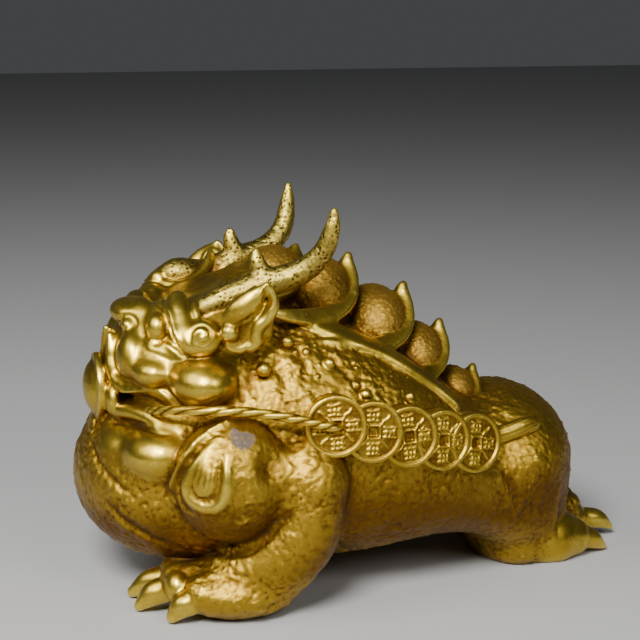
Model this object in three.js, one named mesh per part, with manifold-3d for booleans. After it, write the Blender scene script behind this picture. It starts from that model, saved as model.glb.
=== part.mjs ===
// A three-legged money toad, cast in brass as one piece: a horned head with a wide
// mouth, a row of petal-like crests over textured humps along the back, a string of
// coins down each flank, two front legs in mid step and one hind leg with its toes
// turned back.
// Units are millimetres, +Z is up, the toad looks along -Y and its left side is +X.
import * as THREE from "three";
import { mergeVertices } from "three/addons/utils/BufferGeometryUtils.js";
import Module from "manifold-3d";

const wasm = await Module();
wasm.setup();

// Driving dimensions.
const BODY_HALF_WIDTH = 46;
const BELLY_CLEARANCE = 9;
const STRIDE = 24; // how far the right front leg is set back from the left one
const HORN_SPREAD = 32; // half the distance between the horn tips
const HORN_TOP = 126.5;
const EAR_OFFSET = 40;
const COIN_RADIUS = 9.6;
const COIN_COUNT = 5;
const COIN_PITCH = 12;
const CORD_RADIUS = 1.3;

const LEFT = 1;
const RIGHT = -1;
const SIDES = [LEFT, RIGHT];

const vec = (x, y, z) => new THREE.Vector3(x, y, z);
const radians = THREE.MathUtils.degToRad;

// Turns a closed geometry into a solid that can be joined and cut.
function solid(geometry) {
  const bare = geometry.index ? geometry.toNonIndexed() : geometry.clone();
  bare.deleteAttribute("normal");
  bare.deleteAttribute("uv");
  const merged = mergeVertices(bare, 1e-4);
  return new wasm.Manifold(
    new wasm.Mesh({
      numProp: 3,
      vertProperties: merged.attributes.position.array,
      triVerts: new Uint32Array(merged.index.array),
    }),
  );
}

// An ellipsoid. tilt raises its front, turn swings its front to the left, roll leans it.
function ball(at, size, { tilt = 0, turn = 0, roll = 0, detail = 2 } = {}) {
  const geometry = detail > 0 ? new THREE.IcosahedronGeometry(1, detail) : new THREE.OctahedronGeometry(1, 1);
  geometry.scale(size[0], size[1], size[2]);
  geometry.rotateY(radians(roll));
  geometry.rotateX(radians(-tilt));
  geometry.rotateZ(radians(turn));
  geometry.translate(at[0], at[1], at[2]);
  return solid(geometry);
}

// A bar that bends through its points. Each size gives the two half widths of the
// section at a point, the first one along the wide direction, or away from a centre.
function bar(points, sizes, { wide = vec(0, 0, 1), awayFrom = null, sides = 8, steps = 6 } = {}) {
  const spans = points.length - 1;
  const curve = new THREE.CatmullRomCurve3(points);
  const sizeAt = (u) => {
    const k = Math.min(Math.floor(u * spans), spans - 1);
    const f = u * spans - k;
    return [0, 1].map((i) => THREE.MathUtils.lerp(sizes[k][i], sizes[k + 1][i], f));
  };
  const geometry = new THREE.CylinderGeometry(1, 1, 1, sides, steps);
  const corners = geometry.attributes.position;
  for (let i = 0; i < corners.count; i++) {
    const u = corners.getY(i) + 0.5;
    const along = curve.getTangent(u);
    const corner = curve.getPoint(u);
    const broad = awayFrom ? corner.clone().sub(awayFrom) : wide.clone();
    broad.addScaledVector(along, -broad.dot(along)).normalize();
    const thin = vec(0, 0, 0).crossVectors(broad, along);
    const [a, b] = sizeAt(u);
    corner.addScaledVector(broad, corners.getX(i) * a).addScaledVector(thin, corners.getZ(i) * b);
    corners.setXYZ(i, corner.x, corner.y, corner.z);
  }
  return solid(geometry);
}

// A round bar, with one radius at each point.
const limb = (points, radii, options) =>
  bar(points, radii.map((r) => [r, r]), options);

const joined = (...solids) => solids.flat().reduce((all, next) => all.add(next));

// The same piece on both sides of the body.
const pair = (make) => SIDES.map((side) => make(side));

// The trunk is a row of upright sections, narrow along the back and full below.
function trunk() {
  const stations = [
    { y: -84, half: 15, top: 62, bottom: 24 },
    { y: -74, half: 31, top: 74, bottom: 14 },
    { y: -60, half: 42, top: 84, bottom: BELLY_CLEARANCE + 1 },
    { y: -45, half: BODY_HALF_WIDTH - 1, top: 92, bottom: BELLY_CLEARANCE },
    { y: -28, half: BODY_HALF_WIDTH, top: 93, bottom: BELLY_CLEARANCE },
    { y: -10, half: BODY_HALF_WIDTH, top: 87, bottom: BELLY_CLEARANCE },
    { y: 6, half: BODY_HALF_WIDTH - 1, top: 79, bottom: BELLY_CLEARANCE + 2 },
    { y: 20, half: 42, top: 69, bottom: BELLY_CLEARANCE + 3.5 },
    { y: 33, half: 38, top: 59, bottom: BELLY_CLEARANCE + 2.5 },
    { y: 46, half: 33, top: 52, bottom: 6 },
    { y: 60, half: 26, top: 46, bottom: 4 },
  ];
  const BACK_EXPONENT = 2.2;
  const BELLY_EXPONENT = 2.5;
  const SECTION_CORNERS = 20;
  const last = stations.length - 1;
  const geometry = new THREE.CylinderGeometry(1, 1, 1, SECTION_CORNERS, last);
  const corners = geometry.attributes.position;
  for (let i = 0; i < corners.count; i++) {
    const { y, half, top, bottom } = stations[Math.round((corners.getY(i) + 0.5) * last)];
    const across = corners.getX(i);
    const up = corners.getZ(i);
    const reach = Math.hypot(across, up);
    const n = 2 / (up > 0 ? BACK_EXPONENT : BELLY_EXPONENT);
    const swell = (v) => (reach > 0.5 ? Math.sign(v) * Math.abs(v) ** n : 0);
    const middle = THREE.MathUtils.lerp(bottom, top, 0.42);
    const height = up > 0 ? top - middle : middle - bottom;
    corners.setXYZ(i, half * swell(across), y, middle + height * swell(up));
  }
  return solid(geometry);
}

function chest() {
  return ball([0, -68, 37], [38, 29, 27], { detail: 3, tilt: 8 });
}

// The nose, cheeks, lips and jaws.
function face() {
  const skull = [
    ball([0, -52, 86], [34, 22, 15], { tilt: -16, detail: 1 }),
    ball([0, -46, 95], [18.5, 24.5, 11.4], { tilt: -22, detail: 1 }),
  ];
  const nose = [
    ball([0, -77, 89.5], [11, 7.5, 5.6], { detail: 1 }),
    ...pair((side) => ball([side * 8, -78, 87], [5, 4.5, 4.5], { detail: 0 })),
    ball([0, -74, 77], [19, 12, 14]),
  ];
  const cheeks = pair((side) => [
    ball([side * 21, -71, 77], [12, 10, 8.5], { detail: 1 }),
    ball([side * 34, -58, 76], [12, 12, 11]),
  ]).flat();
  const jaw = [
    ball([0, -69, 62], [37, 22, 13]),
    ball([0, -80, 66], [15, 13, 12.5]),
    ...pair((side) => [
      ball([side * 14, -78, 55], [12, 11, 9.5], { detail: 1 }),
      ball([side * 29, -69, 53.5], [13.4, 13.4, 12], { detail: 1 }),
    ]).flat(),
  ];
  const coinInMouth = ball([0, -84, 64], [5.5, 1.8, 5.5], { detail: 1 });
  // The corner of the mouth is a groove that opens under the upper lip.
  const MOUTH_HEIGHT = 62;
  const mouth = bar(
    [vec(44, -68, MOUTH_HEIGHT), vec(30, -80, MOUTH_HEIGHT), vec(12, -90, MOUTH_HEIGHT + 3)],
    [[1.2, 3], [3, 5], [2, 5]],
    { sides: 5, steps: 3 },
  );
  const mouths = [mouth, mouth.mirror([1, 0, 0])];
  return [
    mouths.reduce((head, gap) => head.subtract(gap), joined(skull, nose, cheeks, jaw)),
    coinInMouth,
  ];
}

// Eyes under a brow that ends in a curl.
function eyesAndBrows() {
  return pair((side) => [
    ball([side * 22, -70, 89], [5, 5, 5], { detail: 0 }),
    bar(
      [
        vec(side * 13, -69, 96),
        vec(side * 22, -67, 95),
        vec(side * 29, -64.5, 89.5),
        vec(side * 32.5, -60.5, 85.5),
      ],
      [[2.5, 2.5], [4.2, 3.5], [4.4, 3.6], [3.5, 3]],
      { wide: vec(side, 0, 1), sides: 6, steps: 5 },
    ),
    ball([side * 33, -59.5, 88], [4.8, 5.2, 5.2], { detail: 1 }),
  ]).flat();
}

// Each horn has a short prong on its upper side.
function horns() {
  return pair((side) => [
    limb(
      [
        vec(side * 21, -57, 94),
        vec(side * 22, -48, 98.5),
        vec(side * 23, -37, 102.5),
        vec(side * 25, -27, 105.5),
        vec(side * 28, -20.5, 111.5),
        vec(side * 31, -18, 119.5),
        vec(side * HORN_SPREAD, -17.4, HORN_TOP),
      ],
      [4.6, 5.2, 5, 4.6, 3.8, 2.9, 1.2],
      { sides: 6, wide: vec(0, 1, 1), steps: 9 },
    ),
    ball([side * 21, -57, 94], [4.6, 4.6, 4.6], { detail: 0 }),
    limb(
      [vec(side * 22, -38, 103), vec(side * 22, -39.8, 109), vec(side * 21.5, -40, 113)],
      [4, 2.8, 1],
      { sides: 6, wide: vec(0, 1, 0), steps: 3 },
    ),
  ]).flat();
}

// A leaf-shaped ear with a raised rim, laid against the side of the head.
function ears() {
  const THICKNESS = 3;
  const leaf = new THREE.Shape();
  leaf.moveTo(-55, 86);
  leaf.quadraticCurveTo(-59, 92, -54, 96);
  leaf.quadraticCurveTo(-46, 99, -40.5, 106);
  leaf.quadraticCurveTo(-36.5, 98, -41.5, 92);
  leaf.quadraticCurveTo(-44.5, 91, -43.5, 88);
  leaf.quadraticCurveTo(-45.5, 84, -55, 86);
  const leafOptions = { depth: THICKNESS, bevelEnabled: false, curveSegments: 3 };
  return pair((side) => {
    const plate = new THREE.ExtrudeGeometry(leaf, leafOptions);
    plate.rotateX(Math.PI / 2);
    plate.rotateZ(Math.PI / 2);
    plate.translate(side * EAR_OFFSET - THICKNESS / 2, 0, 0);
    return [
      solid(plate),
      ball([side * (EAR_OFFSET - 4), -49, 93], [5, 9, 6.5], { tilt: -32, detail: 1 }),
      ball([side * (EAR_OFFSET + 1.5), -52.5, 91], [3, 3, 3], { detail: 0 }),
    ];
  }).flat();
}

// Humps along the back, each held by a collar that rises to a point behind it and
// sweeps forward and down on both sides.
function backCrests() {
  const crests = [
    { y: -21.5, z: 111, scale: 0.75, detail: 1 },
    { y: -3.5, z: 107.4, scale: 1, detail: 2 },
    { y: 15.7, z: 96.7, scale: 1, detail: 2 },
    { y: 28.6, z: 83.3, scale: 0.9, detail: 2 },
    { y: 40.8, z: 66.9, scale: 0.72, detail: 1 },
  ];
  const COLLAR_SIZES = [[0.8, 0.6], [3.4, 1.4], [3.5, 1.4], [2.8, 1.3]];
  return crests.flatMap(({ y, z, scale, detail }) => {
    const near = (across, behind, above) => vec(across * scale, y + behind * scale, z + above * scale);
    const hump = near(0, -11.5, -13.5);
    const arm = (side) => [
      near(side * 25, -28, -12.5),
      near(side * 16.5, -9.5, -16),
      near(side * 8.5, -1.5, -9.5),
    ];
    const collar = bar(
      [...arm(LEFT), near(0, -1.6, -2.2), ...arm(RIGHT).reverse()],
      [...COLLAR_SIZES, ...COLLAR_SIZES.slice(0, -1).reverse()],
      { awayFrom: hump, sides: 4, steps: 10 },
    );
    return [ball(hump.toArray(), [17.5, 12.5, 13.5].map((size) => size * scale), { detail }), collar];
  });
}

// A smooth fold runs down each flank below the crests.
function flankFolds() {
  return pair((side) =>
    limb(
      [
        vec(side * 24, -32, 91),
        vec(side * 30, -16, 82.5),
        vec(side * 31, -2.5, 76.5),
        vec(side * 31.5, 13, 67.5),
        vec(side * 31, 23, 58),
      ],
      [1.5, 3, 3, 3, 1.5],
      { sides: 6, steps: 6 },
    ),
  );
}

// One coin with a raised rim and a square hole, its face along +X.
function coin() {
  const BACK = 4; // how deep the coin is set into the flank
  const FACE = 0.75;
  const RIM = 1.3;
  const RIM_WIDTH = 1.3;
  const HOLE = 4;
  const profile = [
    [0, -BACK],
    [COIN_RADIUS, -BACK],
    [COIN_RADIUS, RIM],
    [COIN_RADIUS - RIM_WIDTH, RIM],
    [COIN_RADIUS - RIM_WIDTH, FACE],
    [0, FACE],
  ].map(([r, h]) => new THREE.Vector2(r, h));
  const disc = solid(new THREE.LatheGeometry(profile, 12));
  const hole = solid(new THREE.BoxGeometry(HOLE, RIM * 2, HOLE));
  return disc.subtract(hole).rotate([0, 0, -90]);
}

// Five coins overlap along each flank, the front one on top, and a tassel hangs behind.
function coinStrings() {
  const one = coin();
  const yaws = [-4, 2, 6, 14, 18]; // how far each face turns to the rear, in degrees
  return pair((side) => {
    const row = yaws.slice(0, COIN_COUNT).map((yaw, i) => {
      const across = 48.6 - 0.5 * i * i;
      const placed = one.rotate([0, -8, yaw]).translate([across, -21 + COIN_PITCH * i, 61.5 - 2.7 * i]);
      return side === LEFT ? placed : placed.mirror([1, 0, 0]);
    });
    const cord = limb(
      [
        vec(side * 32, -74, 65),
        vec(side * 44, -63, 67.5),
        vec(side * 46.5, -50, 67.8),
        vec(side * 48.5, -36, 65.6),
        vec(side * 50.5, -20.5, 63),
      ],
      [1, 1, 1, 1, 1].map((r) => r * CORD_RADIUS),
      { sides: 4, steps: 7 },
    );
    const tassel = bar(
      [vec(side * 39, 33, 51), vec(side * 34, 45, 50), vec(side * 27, 54, 52.5)],
      [[3, 2], [4.2, 2.5], [1, 1]],
      { sides: 6, steps: 3 },
    );
    return [...row, cord, tassel];
  }).flat();
}

// A toe swells at its knuckle and ends in a pointed claw.
function toe(root, knuckle, tip, girth) {
  const claw = knuckle.clone().lerp(tip, 0.45).add(vec(0, 0, 0.4));
  return limb([root, knuckle, claw, tip], [0.9, 1.05, 0.62, 0.1].map((part) => girth * part), {
    sides: 6,
    steps: 4,
  });
}

// The shoulder is a rounded lobe in front of the elbow, and the forearm runs forward
// and down to a broad foot with three clawed toes.
function frontLeg(side) {
  const back = side === LEFT ? 0 : STRIDE;
  const at = (x, y, z) => vec(side * x, y + back, z);
  const spot = (x, y, z) => at(x, y, z).toArray();
  return [
    ball(spot(43, -54, 44), [15, 17, 20]),
    ball(spot(45, -28.5, 43), [11, 12, 14], { detail: 1 }),
    limb(
      [at(45, -28, 42), at(45, -31, 28), at(41, -40, 17), at(37, -50, 10)],
      [11, 12, 13, 12],
      { wide: vec(side, 0, 0), sides: 9, steps: 5 },
    ),
    ball(spot(36, -50, 8), [17, 20, 9]),
    toe(at(27, -58, 8), at(22.5, -69, 7.5), at(18.5, -81.5, 1), 5.4),
    toe(at(34, -60, 9), at(32, -71, 7.5), at(31, -81.8, 0.8), 5.6),
    toe(at(42, -56, 8), at(44, -64, 7.5), at(43.5, -73, 1.2), 5.8),
  ];
}

// The single hind leg: a full rump, a thigh, and a foot whose toes point backward.
function hindLeg() {
  return [
    ball([0, 48, 35], [34, 25.5, 25], { detail: 3 }),
    ball([0, 52, 20], [27, 20, 18], { detail: 1 }),
    ball([0, 56, 8], [24, 18, 10.5]),
    ...pair((side) => toe(vec(side * 11, 62, 7), vec(side * 13.5, 74, 6), vec(side * 13.5, 86, 1), 5.8)),
    toe(vec(0, 66, 8), vec(0, 81, 8), vec(0, 95, 3.4), 6),
  ];
}

// Small warts on the flanks, above the coins.
function warts() {
  const WART_SIZE = 2.4;
  const places = [
    [-41.3, 77.5, 33.5],
    [-19.9, 78.6, 32],
    [-9, 68.6, 37.3],
    [6.7, 65.3, 34.3],
  ];
  return pair((side) =>
    places.map(([y, z, across]) => ball([side * across, y, z], [WART_SIZE, WART_SIZE, WART_SIZE], { detail: 0 })),
  ).flat();
}

// Everything below the ground plane is cut away, which leaves flat soles.
function groundCut(body) {
  const GROUND = 400;
  const below = new THREE.BoxGeometry(GROUND, GROUND, GROUND);
  below.translate(0, 0, -GROUND / 2);
  return body.subtract(solid(below));
}

// The origin lies on the ground, under the middle of the figure's box.
function centreOnGround(geometry) {
  geometry.computeBoundingBox();
  const { min, max } = geometry.boundingBox;
  geometry.translate(-(min.x + max.x) / 2, -(min.y + max.y) / 2, -min.z);
}

function meshFrom(body, name, material) {
  const { numProp, vertProperties, triVerts } = body.getMesh();
  const positions = new Float32Array((vertProperties.length / numProp) * 3);
  for (let i = 0; i < positions.length / 3; i++) {
    positions.set(vertProperties.subarray(i * numProp, i * numProp + 3), i * 3);
  }
  const geometry = new THREE.BufferGeometry();
  geometry.setAttribute("position", new THREE.BufferAttribute(positions, 3));
  geometry.setIndex(new THREE.BufferAttribute(triVerts, 1));
  centreOnGround(geometry);
  geometry.computeVertexNormals();
  const mesh = new THREE.Mesh(geometry, material);
  mesh.name = name;
  return mesh;
}

const brass = new THREE.MeshStandardMaterial({ color: 0xb08a32, roughness: 0.38, metalness: 1 });

const casting = groundCut(
  joined(
    trunk(),
    chest(),
    face(),
    eyesAndBrows(),
    horns(),
    ears(),
    backCrests(),
    flankFolds(),
    coinStrings(),
    frontLeg(LEFT),
    frontLeg(RIGHT),
    hindLeg(),
    warts(),
  ),
);

const toad = meshFrom(casting, "money_toad", brass);
const group = new THREE.Group();
group.add(toad);

export default group;
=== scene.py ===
# A money toad cast in gilded brass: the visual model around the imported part.
# The shapes are sculpted in millimetres on a grid of distances, and each finished surface
# becomes a mesh in metres, in the part's own frame.
import math
from itertools import product

import bpy
import numpy as np
from mathutils import Matrix, Vector
from mathutils.geometry import tessellate_polygon


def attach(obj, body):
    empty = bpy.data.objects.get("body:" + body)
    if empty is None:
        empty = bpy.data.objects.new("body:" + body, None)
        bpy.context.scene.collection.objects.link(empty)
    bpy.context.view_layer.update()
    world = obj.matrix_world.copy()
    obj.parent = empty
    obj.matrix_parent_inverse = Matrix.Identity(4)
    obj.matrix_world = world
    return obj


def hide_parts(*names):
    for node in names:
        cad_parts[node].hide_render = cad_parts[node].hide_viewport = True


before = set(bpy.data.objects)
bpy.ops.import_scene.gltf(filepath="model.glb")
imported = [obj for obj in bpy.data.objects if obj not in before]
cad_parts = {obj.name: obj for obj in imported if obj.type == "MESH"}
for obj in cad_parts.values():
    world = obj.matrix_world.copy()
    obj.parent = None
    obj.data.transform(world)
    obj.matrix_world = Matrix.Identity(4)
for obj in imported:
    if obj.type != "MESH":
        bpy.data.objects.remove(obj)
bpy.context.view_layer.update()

MM = 0.001

# The sculpting frame, in millimetres. Its origin lies this far from the part's along Y.
ORIGIN_Y = 0.77
VOXEL = 0.5
LOW = np.array([-61.0, -100.0, -4.0])
HIGH = np.array([61.0, 99.0, 131.0])
# Distances are kept up to this far from the surface, and worked out this far around a bar.
FAR = 6.0
REACH = 3.5
# Stands for a distance that isn't worked out.
UNKNOWN = 99.0
# The smallest radius of a bar.
THINNEST = 0.05
# These keep a division away from nothing, for distances and for lengths.
TINY, TINIEST = 1e-6, 1e-9


def direction(azimuth, elevation):
    """The way to a place, in degrees. Azimuth 0 is in front and 90 on the toad's left."""
    a, e = math.radians(azimuth), math.radians(elevation)
    return np.array([math.cos(e) * math.sin(a), -math.cos(e) * math.cos(a), math.sin(e)])


# The camera, in millimetres and degrees. Pixels in this script are those of its frame.
IMAGE_SIZE = 640
FOCAL_PIXELS = 1600.0
CAMERA_AZIMUTH = 76
CAMERA_ELEVATION = 12
CAMERA_DISTANCE = 533.3
CAMERA_AIM = np.array([0.0, -14.0, 84.5])
BACKWARD = direction(CAMERA_AZIMUTH, CAMERA_ELEVATION)
RIGHTWARD = np.array([math.cos(math.radians(CAMERA_AZIMUTH)), math.sin(math.radians(CAMERA_AZIMUTH)), 0.0])
UPWARD = np.cross(BACKWARD, RIGHTWARD)
CAMERA_PLACE = CAMERA_AIM + CAMERA_DISTANCE * BACKWARD
# A ray looks for the clay this far before and behind the aim, in steps.
SIGHT_REACH = 90
SIGHT_STEP = 0.4
# The spans of a line drawn over the clay are cut into so many steps.
LINE_STEPS = 6

# The kinds of finish that the casting has.
PITTED, POLISHED, HORN, STIPPLED = range(4)


# Curves and turning.

def turned(tilt=0.0, turn=0.0, roll=0.0):
    """A rotation matrix. tilt raises the front, turn swings it to the left, roll leans it."""
    a, b, c = (math.radians(v) for v in (roll, -tilt, turn))
    about_y = np.array([[math.cos(a), 0, math.sin(a)], [0, 1, 0], [-math.sin(a), 0, math.cos(a)]])
    about_x = np.array([[1, 0, 0], [0, math.cos(b), -math.sin(b)], [0, math.sin(b), math.cos(b)]])
    about_z = np.array([[math.cos(c), -math.sin(c), 0], [math.sin(c), math.cos(c), 0], [0, 0, 1]])
    return about_z @ about_x @ about_y


def smooth_path(points, steps):
    """A Catmull-Rom curve through rows of numbers, with so many steps in each span."""
    rows = np.asarray(points, float)
    if len(rows) == 2:
        u = np.linspace(0, 1, steps + 1)[:, None]
        return rows[0] * (1 - u) + rows[1] * u
    ends = np.vstack([2 * rows[0] - rows[1], rows, 2 * rows[-1] - rows[-2]])
    u = np.linspace(0, 1, steps, endpoint=False)[:, None]
    spans = []
    for k in range(len(rows) - 1):
        a, b, c, d = ends[k:k + 4]
        spans.append(0.5 * (2 * b + (c - a) * u + (2 * a - 5 * b + 4 * c - d) * u ** 2
                            + (3 * b - a - 3 * c + d) * u ** 3))
    return np.vstack(spans + [rows[-1:]])


def even_out(rows):
    """Moves each row but the first and last halfway to the middle of its neighbours."""
    rows[1:-1] = 0.5 * rows[1:-1] + 0.25 * (rows[2:] + rows[:-2])


def unit(rows):
    """Rows of numbers, each scaled to length 1."""
    return rows / np.maximum(np.linalg.norm(rows, axis=1), TINIEST)[:, None]


def between(axis, low, high):
    """The slice of an evenly spaced axis that lies between two values."""
    found = np.flatnonzero((axis >= low) & (axis <= high))
    return slice(found[0], found[-1] + 1) if len(found) else slice(0, 0)


# Forms: each has a box and a function that measures the distance to its surface.

class Form:
    def __init__(self, low, high, measure):
        self.low = np.asarray(low, float)
        self.high = np.asarray(high, float)
        self.measure = measure

    def mirrored(self):
        low = np.array([-self.high[0], self.low[1], self.low[2]])
        high = np.array([-self.low[0], self.high[1], self.high[2]])
        return Form(low, high, lambda x, y, z: self.measure(-x, y, z))


def ball(at, size, tilt=0.0, turn=0.0, roll=0.0):
    """An ellipsoid."""
    at = np.asarray(at, float)
    size = np.asarray(size, float)
    turn_matrix = turned(tilt, turn, roll)
    reach = np.abs(turn_matrix) @ size if tilt or turn or roll else size

    def measure(x, y, z):
        p = [x - at[0], y - at[1], z - at[2]]
        if tilt or turn or roll:
            p = [sum(turn_matrix[j, i] * p[j] for j in range(3)) for i in range(3)]
        near = np.sqrt(sum((p[i] / size[i]) ** 2 for i in range(3)))
        slope = np.sqrt(sum((p[i] / size[i] ** 2) ** 2 for i in range(3)))
        return near * (near - 1) / np.maximum(slope, TINY)

    return Form(at - reach, at + reach, measure)


def disc(at, radius, half, edge=0.5):
    """A round plate that faces along Y, with rounded edges."""
    at = np.asarray(at, float)
    size = np.array([radius, half, radius])

    def measure(x, y, z):
        round_off = np.sqrt((x - at[0]) ** 2 + (z - at[2]) ** 2) - radius + edge
        flat_off = np.abs(y - at[1]) - half + edge
        outside = np.sqrt(np.maximum(round_off, 0) ** 2 + np.maximum(flat_off, 0) ** 2)
        return outside + np.minimum(np.maximum(round_off, flat_off), 0) - edge

    return Form(at - size, at + size, measure)


def rope(points, radii, steps=5, wide=None, flat=1.0, power=2.0):
    """A tapered bar along a smooth path. wide is the broad direction of its section, and flat
    its thickness over its width, one for all or one for each point. power squares it up."""
    count = len(points)
    columns = [np.asarray(points, float), radii, np.broadcast_to(flat, count)]
    if wide is not None:
        columns.append(np.broadcast_to(wide, (count, 3)))
    path = smooth_path(np.column_stack(columns), steps)
    places, sizes, flats = path[:, :3], np.maximum(path[:, 3], THINNEST), path[:, 4]
    low = (places - sizes[:, None]).min(0)
    high = (places + sizes[:, None]).max(0)

    def measure(x, y, z):
        shape = np.broadcast_shapes(x.shape, y.shape, z.shape)
        best = np.full(shape, UNKNOWN, np.float32)
        for k in range(len(places) - 1):
            a, b = places[k], places[k + 1]
            ra, rb = sizes[k], sizes[k + 1]
            reach = max(ra, rb) + REACH
            cut = tuple(
                between(axis.ravel(), min(a[i], b[i]) - reach, max(a[i], b[i]) + reach)
                for i, axis in enumerate((x, y, z))
            )
            if any(s.start >= s.stop for s in cut):
                continue
            p = [x[cut[0]] - a[0], y[:, cut[1]] - a[1], z[:, :, cut[2]] - a[2]]
            along = b - a
            share = sum(p[i] * along[i] for i in range(3)) / max(along @ along, TINIEST)
            share = np.clip(share, 0, 1)
            off = [p[i] - share * along[i] for i in range(3)]
            radius = ra + (rb - ra) * share
            if wide is None:
                d = np.sqrt(sum(v * v for v in off)) - radius
            else:
                side = path[k, 5:] - (path[k, 5:] @ along) * along / max(along @ along, TINIEST)
                side = side / max(np.linalg.norm(side), TINY)
                thin = radius * flats[k]
                across = sum(off[i] * side[i] for i in range(3))
                rest = np.sqrt(np.maximum(sum(v * v for v in off) - across ** 2, 0))
                u = np.abs(across) / radius + 1e-5
                v = rest / thin + 1e-5
                near = (u ** power + v ** power) ** (1 / power)
                slope = near ** (1 - power) * np.sqrt(
                    (u ** (power - 1) / radius) ** 2 + (v ** (power - 1) / thin) ** 2)
                d = (near - 1) / np.maximum(slope, TINY)
            best[cut] = np.minimum(best[cut], d)
        return best

    return Form(low, high, measure)


def joined(here, there, blend):
    """The smaller of two distances, rounded off where they differ by less than the blend."""
    overlap = np.maximum(blend - np.abs(here - there), 0) / max(blend, TINY)
    return np.minimum(here, there) - overlap ** 2 * blend / 4


class Clay:
    """Distances on a grid, negative inside, with the finish of the nearest form."""

    def __init__(self, low, high):
        self.low = np.floor(np.asarray(low) / VOXEL) * VOXEL
        self.count = np.ceil((np.asarray(high) - self.low) / VOXEL).astype(int) + 1
        self.field = np.full(self.count, FAR, np.float32)
        self.finish = np.zeros(self.count, np.uint8)
        self.axes = [self.low[i] + VOXEL * np.arange(self.count[i]) for i in range(3)]

    def around(self, form, blend):
        """The part of the grid that a form can change, and the form's distances there."""
        margin = min(FAR, blend + 2 * VOXEL + 1)
        part = tuple(between(self.axes[i], form.low[i] - margin, form.high[i] + margin) for i in range(3))
        grids = np.ix_(*(self.axes[i][part[i]].astype(np.float32) for i in range(3)))
        return part, form.measure(*grids)

    def add(self, form, blend, finish=POLISHED):
        part, d = self.around(form, blend)
        self.finish[part] = np.where(d < self.field[part], finish, self.finish[part])
        self.field[part] = joined(self.field[part], d, blend)

    def cut(self, form, blend):
        part, d = self.around(form, blend)
        self.field[part] = -joined(-self.field[part], d, blend)

    def add_pair(self, form, blend, finish=POLISHED):
        self.add(form, blend, finish)
        self.add(form.mirrored(), blend, finish)

    def cut_pair(self, form, blend):
        self.cut(form, blend)
        self.cut(form.mirrored(), blend)

    def sample(self, points):
        """The distance at any places."""
        return sample(self.field, (points - self.low) / VOXEL)

    def slope(self, points):
        """The direction at any places in which the distance rises fastest."""
        rise = [self.sample(points + e) - self.sample(points - e) for e in np.eye(3) * 0.6 * VOXEL]
        return unit(np.stack(rise, 1))

    def soften(self):
        """Rounds sharp edges off a little."""
        np.clip(self.field, -FAR, FAR, out=self.field)
        for axis in range(3):
            even_out(np.moveaxis(self.field, axis, 0))


def sample(grid, at):
    """Values between a grid's points, from the eight around each place."""
    just_inside = np.array(grid.shape) - 1.001
    at = np.clip(at, 0, just_inside)
    base = at.astype(int)
    f = at - base
    total = np.zeros(len(at))
    for i, j, k in product((0, 1), repeat=3):
        weight = ((f[:, 0] if i else 1 - f[:, 0]) * (f[:, 1] if j else 1 - f[:, 1])
                  * (f[:, 2] if k else 1 - f[:, 2]))
        total += weight * grid[base[:, 0] + i, base[:, 1] + j, base[:, 2] + k]
    return total


# Places on the surface, found through the camera.

def rays_through(across, down):
    """The camera's rays through pixels."""
    half = IMAGE_SIZE / 2
    return -BACKWARD * FOCAL_PIXELS + RIGHTWARD * (across - half) + UPWARD * (half - down)


def sight(clay, pixels):
    """Where the rays through these pixels meet the clay, or come nearest to it."""
    pixels = np.asarray(pixels, float)
    rays = unit(rays_through(pixels[:, :1], pixels[:, 1:2]))
    far = np.arange(CAMERA_DISTANCE - SIGHT_REACH, CAMERA_DISTANCE + SIGHT_REACH, SIGHT_STEP)
    points = CAMERA_PLACE + rays[:, None, :] * far[None, :, None]
    inside_box = ((points > clay.low) & (points < clay.low + VOXEL * (clay.count - 1))).all(2)
    values = clay.sample(points.reshape(-1, 3)).reshape(points.shape[:2])
    values = np.where(inside_box, values, FAR)
    hit = values < 0
    first = np.where(hit.any(1), hit.argmax(1), values.argmin(1))
    first = np.maximum(first, 1)
    rows = np.arange(len(pixels))
    before, after = values[rows, first - 1], values[rows, first]
    share = np.clip(before / np.where(before - after == 0, 1, before - after), 0, 1)
    reach = far[first - 1] + SIGHT_STEP * np.where(hit.any(1), share, 1.0)
    return CAMERA_PLACE + rays * reach[:, None]


def spot(across, down, x):
    """The place behind a pixel, on the upright plane at x."""
    ray = rays_through(across, down)
    return CAMERA_PLACE + ray * (x - CAMERA_PLACE[0]) / ray[0]


def lump(pixel, size, **turns):
    """A ball at a place given by its pixel and x."""
    return ball(spot(*pixel), size, **turns)


def bar(line, radii, **section):
    """A rope through places given by their pixels and x."""
    return rope([spot(*pixel) for pixel in line], radii, **section)


def surface_line(clay, pixels, radii, lift):
    """A rope that follows a drawn line over the clay, with its middle lifted out of it. Two
    radii are those of the line's ends and of the rest."""
    if len(radii) == 2:
        radii = [radii[0], *[radii[1]] * (len(pixels) - 2), radii[0]]
    path = smooth_path(np.column_stack([pixels, radii]), LINE_STEPS)
    points = sight(clay, path[:, :2])
    for _ in range(2):
        even_out(points)
    points += clay.slope(points) * lift
    return rope(points, path[:, 2], steps=1)


def band(clay, pixels, half_widths, thickness, lift):
    """A flat bar that follows a drawn line over the clay."""
    path = smooth_path(np.column_stack([pixels, half_widths]), LINE_STEPS)
    points = sight(clay, path[:, :2])
    for _ in range(3):
        even_out(points)
    normal = clay.slope(points)
    points += normal * lift
    wide = np.cross(np.gradient(points, axis=0), normal)
    return rope(points, path[:, 2], steps=1, wide=wide, flat=thickness / path[:, 2], power=2.6)


# The shapes, on the toad's left side, which is +X. The right side mirrors them.

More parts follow.
